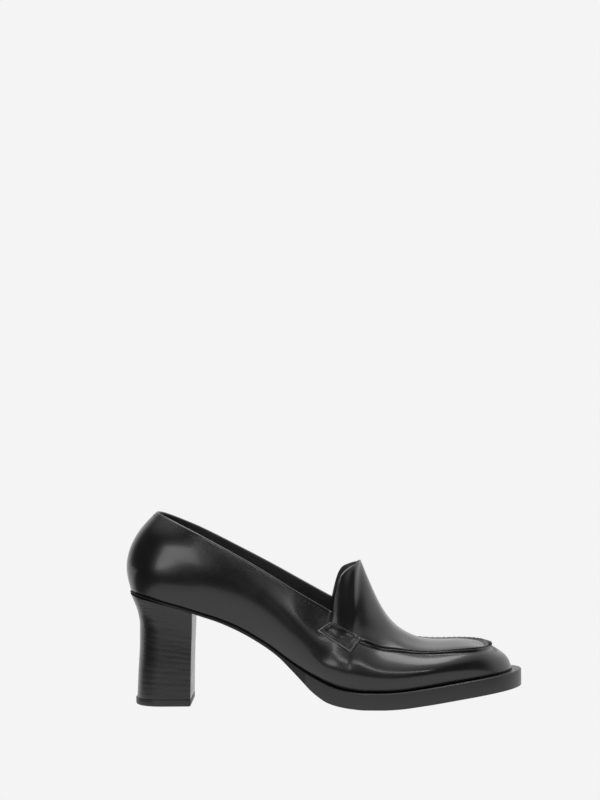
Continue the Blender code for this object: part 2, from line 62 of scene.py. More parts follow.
# Underside and thickness of the outsole from the back to the toe
SOLE_COLUMNS = ("station", "lift", "spring", "thickness")
SOLE_LINE = (
    (0.000, 1.000, 0.000, 0.125),
    (0.041, 0.969, 0.000, 0.125),
    (0.082, 0.932, 0.000, 0.125),
    (0.135, 0.880, 0.000, 0.135),
    (0.176, 0.829, 0.000, 0.160),
    (0.229, 0.765, 0.000, 0.170),
    (0.280, 0.685, 0.000, 0.210),
    (0.331, 0.584, 0.000, 0.210),
    (0.383, 0.456, 0.000, 0.245),
    (0.413, 0.353, 0.000, 0.415),
    (0.444, 0.241, 0.000, 0.680),
    (0.465, 0.164, 0.000, 0.890),
    (0.486, 0.105, 0.000, 1.020),
    (0.507, 0.060, 0.000, 1.080),
    (0.537, 0.028, 0.000, 1.030),
    (0.568, 0.010, 0.000, 1.010),
    (0.605, 0.000, 0.000, 1.000),
    (0.650, 0.000, 0.000, 1.000),
    (0.694, 0.000, 0.055, 1.000),
    (0.743, 0.000, 0.205, 1.005),
    (0.794, 0.000, 0.375, 1.010),
    (0.841, 0.000, 0.535, 1.010),
    (0.892, 0.000, 0.690, 1.010),
    (0.943, 0.000, 0.840, 1.005),
    (1.000, 0.000, 1.000, 1.000),
)

# One row for each section of the upper, from the back round to the toe tip.
# Stations are shares of the length, sides of half the ball width, rises of the quarter height.
SECTION_COLUMNS = (
    "station", "lateral", "medial", "ledge", "belly", "belly_rise",
    "shoulder_at", "shoulder", "shoulder_rise", "crest_at", "crest", "crest_rise",
    "top_at", "top", "top_rise", "medial_rise", "medial_back",
)
SECTIONS = (
    (0.000, 0.000, 0.000, 0.010, 0.055, 0.260,
     0.002, 0.000, 0.500, 0.031, 0.000, 0.750, 0.070, 0.000, 0.980, 0.000, 0.000),
    (0.013, 0.273, 0.273, 0.010, 0.058, 0.260,
     0.015, 0.268, 0.510, 0.042, 0.245, 0.757, 0.079, 0.186, 0.984, -0.008, 0.000),
    (0.049, 0.473, 0.473, 0.010, 0.064, 0.260,
     0.053, 0.477, 0.526, 0.074, 0.427, 0.760, 0.106, 0.345, 0.970, -0.018, 0.000),
    (0.098, 0.559, 0.550, 0.010, 0.073, 0.260,
     0.102, 0.591, 0.524, 0.118, 0.545, 0.746, 0.143, 0.473, 0.941, -0.025, 0.000),
    (0.176, 0.573, 0.541, 0.010, 0.095, 0.260,
     0.180, 0.673, 0.524, 0.188, 0.636, 0.722, 0.196, 0.582, 0.902, -0.032, 0.000),
    (0.270, 0.573, 0.489, 0.010, 0.118, 0.260,
     0.272, 0.718, 0.480, 0.274, 0.691, 0.670, 0.276, 0.636, 0.845, -0.032, 0.000),
    (0.350, 0.609, 0.473, 0.012, 0.123, 0.270,
     0.351, 0.761, 0.463, 0.351, 0.723, 0.657, 0.353, 0.659, 0.842, -0.017, 0.000),
    (0.430, 0.720, 0.564, 0.025, 0.114, 0.260,
     0.433, 0.830, 0.440, 0.433, 0.755, 0.663, 0.437, 0.664, 0.870, 0.008, 0.003),
    (0.490, 0.825, 0.727, 0.045, 0.102, 0.220,
     0.498, 0.852, 0.430, 0.507, 0.750, 0.640, 0.521, 0.630, 0.842, 0.037, 0.009),
    (0.519, 0.875, 0.800, 0.052, 0.095, 0.200,
     0.523, 0.830, 0.485, 0.527, 0.716, 0.743, 0.528, 0.595, 1.030, 0.060, 0.005),
    (0.541, 0.905, 0.855, 0.056, 0.091, 0.190,
     0.543, 0.814, 0.522, 0.543, 0.670, 0.828, 0.540, 0.539, 1.225, 0.030, 0.002),
    (0.562, 0.930, 0.898, 0.058, 0.086, 0.180,
     0.564, 0.795, 0.540, 0.565, 0.602, 0.856, 0.563, 0.409, 1.362, -0.010, 0.000),
    (0.582, 0.952, 0.936, 0.060, 0.080, 0.180,
     0.586, 0.773, 0.580, 0.588, 0.511, 0.906, 0.592, 0.000, 1.448, 0.000, 0.000),
    (0.609, 0.975, 0.977, 0.060, 0.073, 0.180,
     0.613, 0.750, 0.560, 0.613, 0.443, 0.867, 0.611, 0.000, 1.230, 0.000, 0.000),
    (0.641, 0.991, 1.005, 0.060, 0.068, 0.180,
     0.645, 0.727, 0.505, 0.640, 0.386, 0.760, 0.634, 0.000, 0.990, 0.000, 0.000),
    (0.678, 0.995, 1.011, 0.060, 0.064, 0.170,
     0.684, 0.705, 0.465, 0.674, 0.364, 0.635, 0.663, 0.000, 0.765, 0.000, 0.000),
    (0.723, 0.982, 1.002, 0.060, 0.059, 0.170,
     0.731, 0.682, 0.412, 0.717, 0.352, 0.515, 0.703, 0.000, 0.595, 0.000, 0.000),
    (0.776, 0.939, 0.959, 0.062, 0.055, 0.170,
     0.784, 0.648, 0.372, 0.770, 0.330, 0.432, 0.756, 0.000, 0.468, 0.000, 0.000),
    (0.833, 0.848, 0.877, 0.066, 0.041, 0.170,
     0.833, 0.595, 0.352, 0.821, 0.295, 0.404, 0.809, 0.000, 0.424, 0.000, 0.000),
    (0.886, 0.730, 0.775, 0.070, 0.020, 0.160,
     0.876, 0.500, 0.331, 0.864, 0.250, 0.378, 0.854, 0.000, 0.394, 0.000, 0.000),
    (0.933, 0.580, 0.640, 0.085, -0.010, 0.150,
     0.902, 0.352, 0.316, 0.890, 0.182, 0.348, 0.878, 0.000, 0.361, 0.000, 0.000),
    (0.973, 0.370, 0.450, 0.112, -0.050, 0.140,
     0.914, 0.186, 0.300, 0.902, 0.095, 0.328, 0.892, 0.000, 0.340, 0.000, 0.000),
    (1.000, -0.045, 0.045, 0.132, -0.065, 0.130,
     0.918, -0.020, 0.292, 0.906, 0.000, 0.319, 0.896, 0.000, 0.333, 0.000, 0.000),
)
JUNCTION = 8
PEAK = 12
TOE = len(SECTIONS) - 1

# How far the inner side follows the narrower waist, and the inner edge's extra rise
SHOULDER_FOLLOW = 0.6
CREST_FOLLOW = 0.2
SHOULDER_EXTRA = 0.25
CREST_EXTRA = 0.5

# Part of the tongue's width, in shares of half the ball width, that rounds over level at its middle
PEAK_WIDTH = 0.5

# Heel sections from the lift up; runs and sides are shares of the heel's foot
HEEL_COLUMNS = ("height", "back", "breast", "side")
HEEL_SECTIONS = (
    (0.00, -0.472, 0.507, 1.000),
    (0.25, -0.444, 0.517, 0.993),
    (0.55, -0.408, 0.535, 1.000),
    (0.72, -0.403, 0.548, 1.030),
    (0.83, -0.432, 0.556, 1.075),
    (0.92, -0.492, 0.562, 1.130),
    (1.00, -0.556, 0.566, 1.190),
)
HEEL_ROUND = 2.3
HEEL_ROUND_SHARE = 0.55

# The top lift stands out from the heel's foot by these shares of its run and half width
LIFT_BACK_OUT = 0.022
LIFT_SIDE_OUT = 0.010

# Corners of the side tab: share of the length and rise over the sole, seen from the side
TAB_CORNERS = ((0.5225, 0.745), (0.484, 0.565), (0.569, 0.450), (0.598, 0.625))
TAB_START = (8.5, 2.6)

# Short steps that slopes are taken over, and how near two places count as the same
SLOPE_STEP = SHOE_LENGTH / 600
SLOPE_UP = 0.01
SAME_PLACE = 1e-9

# The search for a place on the wall: rounds, longest steps, lowest and highest level
SEARCH_ROUNDS = 12
SEARCH_STEP = SHOE_LENGTH / 40
SEARCH_UP = 0.4
SEARCH_LEVELS = (0.1, 3.9)


def column(rows, names, name):
    return np.array([row[names.index(name)] for row in rows])


def monotone(knots, values, at):
    """Cubic through the knots that never overshoots them."""
    step = np.diff(knots)
    slope = np.diff(values) / step
    tangent = np.zeros(len(knots))
    tangent[0], tangent[-1] = slope[0], slope[-1]
    for i in range(1, len(knots) - 1):
        if slope[i - 1] * slope[i] > 0:
            before = 2 * step[i] + step[i - 1]
            after = step[i] + 2 * step[i - 1]
            tangent[i] = (before + after) / (before / slope[i - 1] + after / slope[i])
    at = np.clip(at, knots[0], knots[-1])
    i = np.clip(np.searchsorted(knots, at, side="right") - 1, 0, len(knots) - 2)
    t = (at - knots[i]) / step[i]
    return (
        values[i] * (1 + 2 * t) * (1 - t) ** 2
        + tangent[i] * step[i] * t * (1 - t) ** 2
        + values[i + 1] * t * t * (3 - 2 * t)
        + tangent[i + 1] * step[i] * t * t * (t - 1)
    )


def spline(knots, values, at):
    """Natural cubic spline through rows of points."""
    n = len(knots)
    step = np.diff(knots)
    matrix = np.eye(n)
    right = np.zeros((n, values.shape[1]))
    for i in range(1, n - 1):
        matrix[i, i - 1], matrix[i, i + 1] = step[i - 1], step[i]
        matrix[i, i] = 2 * (step[i - 1] + step[i])
        change = (values[i + 1] - values[i]) / step[i] - (values[i] - values[i - 1]) / step[i - 1]
        right[i] = 6 * change
    bend = np.linalg.solve(matrix, right)
    at = np.atleast_1d(at)
    i = np.clip(np.searchsorted(knots, at, side="right") - 1, 0, n - 2)
    h = step[i][:, None]
    a = (knots[i + 1] - at)[:, None] / h
    b = 1 - a
    return (
        a * values[i]
        + b * values[i + 1]
        + ((a**3 - a) * bend[i] + (b**3 - b) * bend[i + 1]) * h * h / 6
    )


def sole_under(x):
    share = (x - BACK_X) / SHOE_LENGTH
    stations = column(SOLE_LINE, SOLE_COLUMNS, "station")
    lift = monotone(stations, column(SOLE_LINE, SOLE_COLUMNS, "lift"), share)
    spring = monotone(stations, column(SOLE_LINE, SOLE_COLUMNS, "spring"), share)
    return lift * SEAT_HEIGHT + spring * TOE_SPRING


def sole_top(x):
    share = (x - BACK_X) / SHOE_LENGTH
    stations = column(SOLE_LINE, SOLE_COLUMNS, "station")
    thickness = monotone(stations, column(SOLE_LINE, SOLE_COLUMNS, "thickness"), share)
    return sole_under(x) + thickness * SOLE_THICKNESS


def section(name):
    return column(SECTIONS, SECTION_COLUMNS, name)


def loop(lateral, medial):
    """Rows of both sides as one ring: lateral from back to toe, then medial back again."""
    return np.concatenate([lateral, medial[-2:0:-1]])


def point_rows(at, side, rise):
    x = BACK_X + at * SHOE_LENGTH
    return np.stack([x, side * HALF_BALL, sole_top(x) + rise * QUARTER_HEIGHT], axis=1)


def plan_outline(side):
    x = BACK_X + section("station") * SHOE_LENGTH
    return np.stack([x, section(side) * HALF_BALL * (-1 if side == "lateral" else 1)], axis=1)


OUTLINE = loop(plan_outline("lateral"), plan_outline("medial"))
ROWS = len(OUTLINE)


def ring_knots():
    """Spacing of the sections round the ring, the same on both sides."""
    lengths = np.linalg.norm(np.diff(np.vstack([OUTLINE, OUTLINE[:1]]), axis=0), axis=1)
    even = (lengths + lengths[::-1]) / 2
    return np.concatenate([[0], np.cumsum(even)])


KNOTS = ring_knots()
WRAP = 5


def round_ring(values, at):
    """Smooth closed curve through one row of values for each section of the ring."""
    low = KNOTS[-WRAP - 1:-1] - KNOTS[-1]
    high = KNOTS[1:WRAP + 1] + KNOTS[-1]
    knots = np.concatenate([low, KNOTS, high])
    rows = np.concatenate([values[-WRAP:], values, values[:1], values[1:WRAP + 1]])
    return spline(knots, rows, at)


def outline_at(at, inset):
    """Outline of the sole drawn in by an inset given for each place."""
    here = round_ring(OUTLINE, at)
    along = round_ring(OUTLINE, at + SLOPE_STEP) - round_ring(OUTLINE, at - SLOPE_STEP)
    along /= np.linalg.norm(along, axis=1)[:, None]
    inward = np.stack([-along[:, 1], along[:, 0]], axis=1)
    return here + inward * np.reshape(inset, (-1, 1))


def ring_value(name, at):
    values = section(name)
    return round_ring(loop(values, values)[:, None], at)[:, 0]


def shell_rows():
    """Feather, belly, shoulder, crest and top of every section, lateral then medial."""
    sides = {}
    for side, sign in (("lateral", -1), ("medial", 1)):
        ratio = np.ones(TOE + 1)
        if side == "medial":
            ratio[1:TOE] = section("medial")[1:TOE] / section("lateral")[1:TOE]
        extra = section("medial_rise") if side == "medial" else 0
        back = section("medial_back") if side == "medial" else 0
        shoulder = section("shoulder") * sign * (1 + SHOULDER_FOLLOW * (ratio - 1))
        crest = section("crest") * sign * (1 + CREST_FOLLOW * (ratio - 1))
        sides[side] = (
            point_rows(
                section("shoulder_at"), shoulder, section("shoulder_rise") + extra * SHOULDER_EXTRA,
            ),
            point_rows(section("crest_at"), crest, section("crest_rise") + extra * CREST_EXTRA),
            point_rows(section("top_at") - back, section("top") * sign, section("top_rise") + extra),
        )
    return [loop(sides["lateral"][k], sides["medial"][k]) for k in range(3)]


SHOULDERS, CRESTS, TOPS = shell_rows()


def top_line(at):
    """Collar, tongue edge and centre ridge with corners between, and how level each ends."""
    n = ROWS
    tops = np.vstack([TOPS, TOPS[:1]])
    result = np.zeros((len(at), 3))
    back = np.concatenate([KNOTS[n - JUNCTION:n] - KNOTS[-1], KNOTS[:JUNCTION + 1]])
    back_rows = np.concatenate([tops[n - JUNCTION:n], tops[:JUNCTION + 1]])
    wrapped = np.where(at > KNOTS[-1] / 2, at - KNOTS[-1], at)
    collar = np.abs(wrapped) <= KNOTS[JUNCTION] + SAME_PLACE
    result[collar] = spline(back, back_rows, wrapped[collar])
    far_knots = 2 * KNOTS[PEAK] - KNOTS[JUNCTION:PEAK][::-1]
    edge_knots = np.concatenate([KNOTS[JUNCTION:PEAK + 1], far_knots])
    medial_edge = tops[n - PEAK + 1:n - JUNCTION + 1]
    edge_rows = np.concatenate([tops[JUNCTION:PEAK + 1], medial_edge])
    edge = (~collar) & (np.abs(wrapped) < KNOTS[PEAK] - SAME_PLACE)
    place = np.where(wrapped > 0, wrapped, 2 * KNOTS[PEAK] + wrapped)
    result[edge] = spline(edge_knots, edge_rows, place[edge])
    ridge = ~(collar | edge)
    place = np.where(at > KNOTS[TOE], KNOTS[-1] - at, at)
    result[ridge] = spline(KNOTS[PEAK:TOE + 1], tops[PEAK:TOE + 1], place[ridge])
    flat = np.clip(1 - np.abs(result[:, 1]) / (PEAK_WIDTH * HALF_BALL), 0, 1)
    return result, np.where(ridge, 1.0, np.where(collar, 0.0, flat * flat * (3 - 2 * flat)))


def guides(at):
    """Five points of the section at each place round the ring, and one past the top."""
    at = np.mod(np.atleast_1d(at), KNOTS[-1])
    foot = outline_at(at, ring_value("ledge", at) * HALF_BALL)
    feather = np.column_stack([foot, sole_top(foot[:, 0]) + CLEARANCE])
    out = outline_at(at, (ring_value("ledge", at) - ring_value("belly", at)) * HALF_BALL)
    belly = np.column_stack([out, feather[:, 2] + ring_value("belly_rise", at) * QUARTER_HEIGHT])
    shoulder = round_ring(SHOULDERS, at)
    crest = round_ring(CRESTS, at)
    top, level = top_line(at)
    past = 2 * top - crest
    past[:, 2] += level * (crest[:, 2] - past[:, 2])
    return np.stack([feather, belly, shoulder, crest, top, past], axis=1)


def upper_surface(at, up):
    """Outer surface of the upper: place round the ring, height from feather 0 to top 4."""
    points = guides(at)
    result = np.zeros((len(points), 3))
    for i, row in enumerate(points):
        knots = np.concatenate([[0], np.cumsum(np.linalg.norm(np.diff(row, axis=0), axis=1))])
        k = min(int(up[i]), 3)
        place = knots[k] + (up[i] - k) * (knots[k + 1] - knots[k])
        result[i] = spline(knots, row, place)[0]
    return result


def ring_places(step):
    """Places round half the ring, the sections among them, close enough for foot and top."""
    places = [0.0]
    for k in range(TOE):
        span = KNOTS[k + 1] - KNOTS[k]
        rise = np.linalg.norm(TOPS[k + 1] - TOPS[k])
        count = max(1, int(round(max(span, rise) / step)))
        places += list(KNOTS[k] + span * np.arange(1, count + 1) / count)
    return np.array(places)


def stacked(rings, count):
    """Closed solid from rings of the same count, capped with rungs between opposite points."""
    points = np.vstack(rings)
    faces = []
    for k in range(len(rings) - 1):
        for i in range(count):
            after = (i + 1) % count
            low, high = k * count, (k + 1) * count
            faces.append([low + i, low + after, high + after, high + i])
    top = (len(rings) - 1) * count
    for i in range(count // 2):
        low = [i, i + 1, (count - i - 1) % count, (count - i) % count]
        low = [v for n, v in enumerate(low) if v != low[n - 1]]
        faces.append(low[::-1])
        faces.append([v + top for v in low])
    return points, faces


def surface_frame(at, up):
    """Points, outward normals and directions round the ring and up the wall."""
    points = upper_surface(at, up)
    along = upper_surface(at + SLOPE_STEP, up) - upper_surface(at - SLOPE_STEP, up)
    rise = upper_surface(at, up + SLOPE_UP) - upper_surface(at, up - SLOPE_UP)
    along /= np.linalg.norm(along, axis=1)[:, None]
    rise /= np.linalg.norm(rise, axis=1)[:, None]
    normal = np.cross(along, rise)
    normal /= np.linalg.norm(normal, axis=1)[:, None]
    return points, normal, along


def on_wall(x, z, side):
    """Places on one side's wall whose points have these lengths and heights."""
    sign = -1 if side == "medial" else 1
    section_knots = KNOTS[:TOE + 1]
    at = np.full(len(x), np.interp(TAB_START[0], np.arange(TOE + 1), section_knots)) * sign
    up = np.full(len(x), TAB_START[1])
    for _ in range(SEARCH_ROUNDS):
        here = upper_surface(at, up)
        by_at = (upper_surface(at + SLOPE_STEP, up) - here) / SLOPE_STEP
        by_up = (upper_surface(at, up + SLOPE_UP) - here) / SLOPE_UP
        miss_x, miss_z = x - here[:, 0], z - here[:, 2]
        area = by_at[:, 0] * by_up[:, 2] - by_up[:, 0] * by_at[:, 2]
        step_at = (miss_x * by_up[:, 2] - miss_z * by_up[:, 0]) / area
        step_up = (miss_z * by_at[:, 0] - miss_x * by_at[:, 2]) / area
        at = at + np.clip(step_at, -SEARCH_STEP, SEARCH_STEP)
        up = np.clip(up + np.clip(step_up, -SEARCH_UP, SEARCH_UP), *SEARCH_LEVELS)
    return at, up


# Finer steps than the solids use
SOLE_LOW_ROUND = 0.0004
# Share of the length up to which the sole's edge takes the darker waist material, painted shade under
# the arch
SOLE_TOP_CHAMFER = 0.00055
WAIST_END = 0.452
SKIN_STEP = 0.0017
SOLE_STEP = 0.0022
DENSE_UP = (0.010, 0.020, 0.031, 0.044, 0.060, 0.080, 0.110, 0.160)
# Rim slots: calf, then the lighter cut-edge material, whose light grey is partly the edge's own tone
# and partly a painted highlight, then lining
EDGE_SLOTS = (0, 1, 1, 2, 2, 2)
EDGE_STEPS = len(EDGE_SLOTS)
RIM_BULGE = 0.45
SKIN_COUNTS = (8, 11, 10, 11)
WAVE_HEIGHT = 0.00006
CREASE_SLANT = 0.12
TINY = 1e-12
RELAX_ROUNDS = 110
RELAX_PULLS = (0.50, -0.505)
GROOVE_DEPTH = 0.0016
GROOVE_WIDTH = 0.00042
RIDGE_RISE = 0.0013
RIDGE_INNER = 0.0011
RIDGE_OUTER = 0.0020
TROUGH_PLACE = 0.0026
TROUGH_DEPTH = 0.00022
PUCKER_PITCH = 0.0042
FOLD_SECTION = 13.9
STITCH_LENGTH = 0.0021
STITCH_PITCH = 0.0029
STITCH_RADIUS = 0.00021
STITCH_STOP = 0.15
STITCH_SIDES = 6
TOPLINE_STITCH = 0.0024
LINING_STITCH = 2.2 * TOPLINE_STITCH
TAB_STITCH = 0.0014
TAB_ROUND = 0.0007
TAB_TUCK = 0.0016
TAB_FINE = (40, 28)
TAB_CROWD = 0.0016
TAB_DIMPLE = 0.00045
TAB_DIMPLE_RUN = (0.0012, 0.0042)
TAB_TRENCH = 0.00018
TAB_TRENCH_WIDTH = 0.0005
TAB_WAVE = 0.00016
TAB_SUNK = 0.0001
TAB_STITCHES = (0.0019, 0.0014)
HEEL_LAYER = 0.0035
HEEL_GROOVE = 0.000015
HEEL_CORNER = 0.0009
HEEL_ROUND_POINTS = 34
HEEL_CROWDING = 1.5
HEEL_SIDE_POINTS = 10
HEEL_CORNER_POINTS = 6

# One heel layer: share of its height and inset. Rims of top lift and sock: inset and height.
HEEL_LAYER_ROWS = ((0.0, HEEL_GROOVE), (0.10, 0.0), (0.5, 0.0), (0.90, 0.0))
LIFT_RIM = (
    (0.0006, 0), (0.0002, 0.0002), (0, 0.0006), (0, LIFT_THICKNESS - 0.0003), (0.0003, LIFT_THICKNESS),
)
SOCK_RIM = ((0, 0), (0, 0.7), (0.0004, 0.93), (0.0010, 1.0))

# The photograph's frame
FRAME_WIDTH = 600
FRAME_HEIGHT = 800
METRES_PER_PIXEL = 0.00063
ORIGIN_PIXEL = (163.0, 702.0)
AIM_PIXEL = (323.0, 610.0)
CAMERA_AZIMUTH = 2.5
CAMERA_ELEVATION = 7.5
CAMERA_ROLL = 0.82
CAMERA_DISTANCE = 3.0
SENSOR = 36.0


def wall_grid(places, ups):
    """Points of the outer surface for every place round the ring and every height."""
    rows = guides(places)
    grid = np.zeros((len(places), len(ups), 3))
    low = np.clip(ups.astype(int), 0, 3)
    for i, row in enumerate(rows):
        knots = np.concatenate([[0], np.cumsum(np.linalg.norm(np.diff(row, axis=0), axis=1))])
        grid[i] = spline(knots, row, knots[low] + (ups - low) * (knots[low + 1] - knots[low]))
    return grid


def bell(value, centre, width):
    return np.exp(-(((value - centre) / width) ** 2))


def smooth_step(value, low, high):
    share = np.clip((value - low) / (high - low), 0, 1)
    return share * share * (3 - 2 * share)


def section_index(places):
    """Section number, counted from the back, for each place on either side."""
    near = np.minimum(places, KNOTS[-1] - places)
    return np.interp(near, KNOTS[:TOE + 1], np.arange(TOE + 1))


def apron_relief(distance, places):
    """Raised seam of the apron with a slit along its crest and the puckers its thread pulls in."""
    index = section_index(places)
    run = smooth_step(index, PEAK - 0.1, PEAK + 0.8)
    fold = bell(index, FOLD_SECTION, 1.1)
    far = np.where(places > KNOTS[-1] / 2, 1.0, 0.0) * smooth_step(index, 14.0, 16.0)
    toe = smooth_step(index, 19.8, 21.4)
    beat = np.sin(2 * math.pi * places / PUCKER_PITCH + 0.8 * np.sin(places * 90))
    pucker = 1 + (0.10 + 0.22 * toe) * beat * smooth_step(index, 14.5, 17.0)
    rise = RIDGE_RISE * (1 + 0.35 * far + 0.35 * toe) * pucker
    ridge = 1 - smooth_step(np.abs(distance), RIDGE_INNER, RIDGE_OUTER)
    trough = bell(np.abs(distance), TROUGH_PLACE, RIDGE_OUTER - RIDGE_INNER)
    tucks = bell(distance, -2.2 * RIDGE_OUTER, RIDGE_OUTER) * beat * smooth_step(index, 18.6, 20.4)
    groove = GROOVE_DEPTH * bell(distance, 0, GROOVE_WIDTH * (1 + 0.9 * fold)) * (1 + 0.5 * fold)
    return run * (rise * ridge - TROUGH_DEPTH * (trough - tucks) - groove)


def soft_waves(points):
    """Slight unevenness of lasted leather, about a tenth of a millimetre."""
    x, y, z = points[..., 0], points[..., 1], points[..., 2]
    wave = np.sin(x * 95 + z * 60 + 0.6) * np.sin(z * 120 - x * 40 + 1.1)
    wave += 0.6 * np.sin(x * 170 - z * 90 + y * 60)
    return WAVE_HEIGHT * wave


# Soft troughs and ridges: place round the ring, height, reach in sections, reach in height, depth
CREASES = (
    (8.6, 1.45, 0.9, 0.35, -0.00040),
    (12.9, 2.55, 0.8, 0.30, -0.00040),
    (14.6, 2.45, 0.9, 0.30, 0.00025),
    (6.2, 1.9, 1.2, 0.50, -0.00025),
)


def creases(places, ups):
    index = section_index(places)[:, None]
    level = ups[None, :]
    depth = np.zeros((len(places), len(ups)))
    for at, up, reach, height, amount in CREASES:
        slant = (index - at) * CREASE_SLANT
        depth += amount * bell(index, at, reach) * bell(level - slant, up, height)
    return depth


def skin_levels():
    steps = [np.linspace(k, k + 1, count) for k, count in enumerate(SKIN_COUNTS)]
    dense = 2 + np.array([sign * step for step in DENSE_UP for sign in (-1, 1)])
    return np.unique(np.round(np.concatenate(steps + [dense]), 4))


class Build:
    """Points and faces of one piece, with a material number on each face."""

    def __init__(self):
        self.points = []
        self.faces = []
        self.slots = []

    def add(self, points, faces, slot=0):
        shift = len(self.points)
        self.points.extend(tuple(map(float, p)) for p in points)
        for face in faces:
            self.faces.append([int(v) + shift for v in face])
            self.slots.append(slot)

    def piece(self, name, materials, node, slot, sharp=None):
        mesh = bpy.data.meshes.new(name)
        mesh.from_pydata(self.points, [], self.faces)
        mesh.polygons.foreach_set("material_index", self.slots)
        for material in materials:
            mesh.materials.append(material)
        mesh.polygons.foreach_set("use_smooth", [True] * len(mesh.polygons))
        mesh.update()
        if sharp is not None:
            mesh.set_sharp_from_angle(angle=math.radians(sharp))
        piece = bpy.data.objects.new(name, mesh)
        bpy.context.scene.collection.objects.link(piece)
        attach(piece, "root")
        if node:
            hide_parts(node)
        return piece


def grid_faces(index, closed):
    faces = []
    count = index.shape[0]
    for i in range(count if closed else count - 1):
        after = (i + 1) % count
        for j in range(index.shape[1] - 1):
            face = [index[i, j], index[after, j], index[after, j + 1], index[i, j + 1]]
            face = [v for n, v in enumerate(face) if v != face[n - 1]]
            if len(set(face)) > 2:
                faces.append(face)
    return faces


def smooth_normals(points, faces):
    """Outward normal at each point from the faces round it."""
    corners = np.array([(f[0], f[k], f[k + 1]) for f in faces for k in range(1, len(f) - 1)])
    start, second, third = (points[corners[:, k]] for k in range(3))
    cross = np.cross(second - start, third - start)
    normal = np.zeros_like(points)
    for k in range(3):
        np.add.at(normal, corners[:, k], cross)
    return normal / np.maximum(np.linalg.norm(normal, axis=1)[:, None], TINY)


def relaxed(points, faces, weight):
    """Points evened out where the weight is high, without drawing the form in."""
    edges = {tuple(sorted((a, b))) for f in faces for a, b in zip(f, f[1:] + f[:1])}
    first, last = np.array(sorted(edges)).T
    near = np.bincount(np.concatenate([first, last]), minlength=len(points))[:, None]
    points = points.copy()
    for _ in range(RELAX_ROUNDS):
        for pull in RELAX_PULLS:
            total = np.zeros_like(points)
            np.add.at(total, first, points[last])
            np.add.at(total, last, points[first])
            points += pull * weight[:, None] * (total / np.maximum(near, 1) - points)
    return points


def calm_weight(index, ups):
    """Share of evening-out over tongue and side wall, nothing at free edge, seam and feather."""
    level = np.broadcast_to(ups[None, :], (len(index), len(ups)))
    over = smooth_step(level, 2.20, 2.80)
    along = smooth_step(index, 8.6, 10.2) * (1 - smooth_step(index, 15.0, 18.0))
    edge = 1 - smooth_step(level, 3.75, 3.99)
    held = smooth_step(index, PEAK + 0.05, PEAK + 0.9)[:, None]
    tongue = over * along[:, None] * (edge + (1 - edge) * held)
    under = smooth_step(level, 0.30, 0.70) * (1 - smooth_step(level, 1.50, 1.85))
    side = smooth_step(index, 4.0, 6.0) * (1 - smooth_step(index, 16.0, 18.0))
    return np.maximum(tongue, under * side[:, None])


def build_upper(leather, edge, lining):
    half = ring_places(SKIN_STEP)
    ring = np.concatenate([half, (KNOTS[-1] - half[1:-1])[::-1]])
    ups = skin_levels()
    smooth = wall_grid(ring, ups)
    smooth[:, 0, 2] = sole_top(smooth[:, 0, 0]) + CLEARANCE
    count, levels = smooth.shape[:2]
    peak = int(np.argmin(np.abs(half - KNOTS[PEAK])))
    mirror = {i: (count - i) % count for i in range(peak, len(half))}
    index = np.arange(count * levels).reshape(count, levels)
    for i, j in mirror.items():
        index[j, -1] = index[i, -1]
    faces = grid_faces(index, True)
    weight = calm_weight(section_index(ring), ups).reshape(-1)
    smooth = relaxed(smooth.reshape(-1, 3), faces, weight)[index]
    normal = smooth_normals(smooth.reshape(-1, 3), faces)[index]
    seam = int(np.argmin(np.abs(ups - 2.0)))
    lengths = np.linalg.norm(np.diff(smooth, axis=1), axis=2)
    run = np.concatenate([np.zeros((len(ring), 1)), np.cumsum(lengths, axis=1)], axis=1)
    distance = run - run[:, seam:seam + 1]
    relief = apron_relief(distance, ring[:, None])
    fade = np.minimum(1, smooth_step(ups, 0, 0.4))[None, :]
    free = np.where(section_index(ring)[:, None] < PEAK, 1 - smooth_step(ups, 3.5, 4.0)[None, :], 1.0)
    relief = relief + (creases(ring, ups) + soft_waves(smooth)) * fade * free
    outer = smooth + normal * relief[..., None]
    inner = smooth - normal * WALL
    feet = normal[:, 0] * (1, 1, 0)
    feet /= np.linalg.norm(feet, axis=1)[:, None]
    inner[:, 0] = smooth[:, 0] - feet * WALL
    inner[:, 0, 2] = sole_top(inner[:, 0, 0]) + CLEARANCE
    build = Build()
    build.add(outer.reshape(-1, 3), faces, 0)
    build.add(inner.reshape(-1, 3), [face[::-1] for face in faces], 2)
    shift = count * levels
    open_top = [i % count for i in range(-peak, peak + 1)]
    rise = outer[:, -1] - outer[:, -3]
    rise /= np.linalg.norm(rise, axis=1)[:, None]
    rings = []
    for step in range(1, EDGE_STEPS):
        turn = math.pi * step / EDGE_STEPS
        centre = (outer[:, -1] + inner[:, -1]) / 2
        across = (outer[:, -1] - inner[:, -1]) / 2
        rings.append(centre + across * math.cos(turn) + rise * WALL * RIM_BULGE * math.sin(turn))
    start = len(build.points)
    build.points.extend(tuple(map(float, p)) for r in rings for p in r)

    def rim_line(a):
        between = [start + k * count + a for k in range(len(rings))]
        return [index[a, -1]] + between + [index[a, -1] + shift]

    # The rim's middle faces take the cut-edge material with its painted highlight
    for a, b in zip(open_top, open_top[1:]):
        line_a, line_b = rim_line(a), rim_line(b)
        for k in range(len(line_a) - 1):
            build.faces.append([int(v) for v in (line_a[k], line_b[k], line_b[k + 1], line_a[k + 1])])
            build.slots.append(EDGE_SLOTS[k])
    for i in range(count):
        here, after = index[i, 0], index[(i + 1) % count, 0]
        build.faces.append([int(v) for v in (after, here, here + shift, after + shift)])
        build.slots.append(1)
    piece = build.piece("upper_skin", (leather, edge, lining), "upper", "upper_leather")
    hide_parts("apron_seam")
    clean_mesh(piece.data)
    return ring, outer, normal


def clean_mesh(mesh):
    """Drop points that no face uses and turn every face outward."""
    work = bmesh.new()
    work.from_mesh(mesh)
    loose = [v for v in work.verts if not v.link_faces]
    bmesh.ops.delete(work, geom=loose, context="VERTS")
    bmesh.ops.recalc_face_normals(work, faces=work.faces)
    work.to_mesh(mesh)
    work.free()


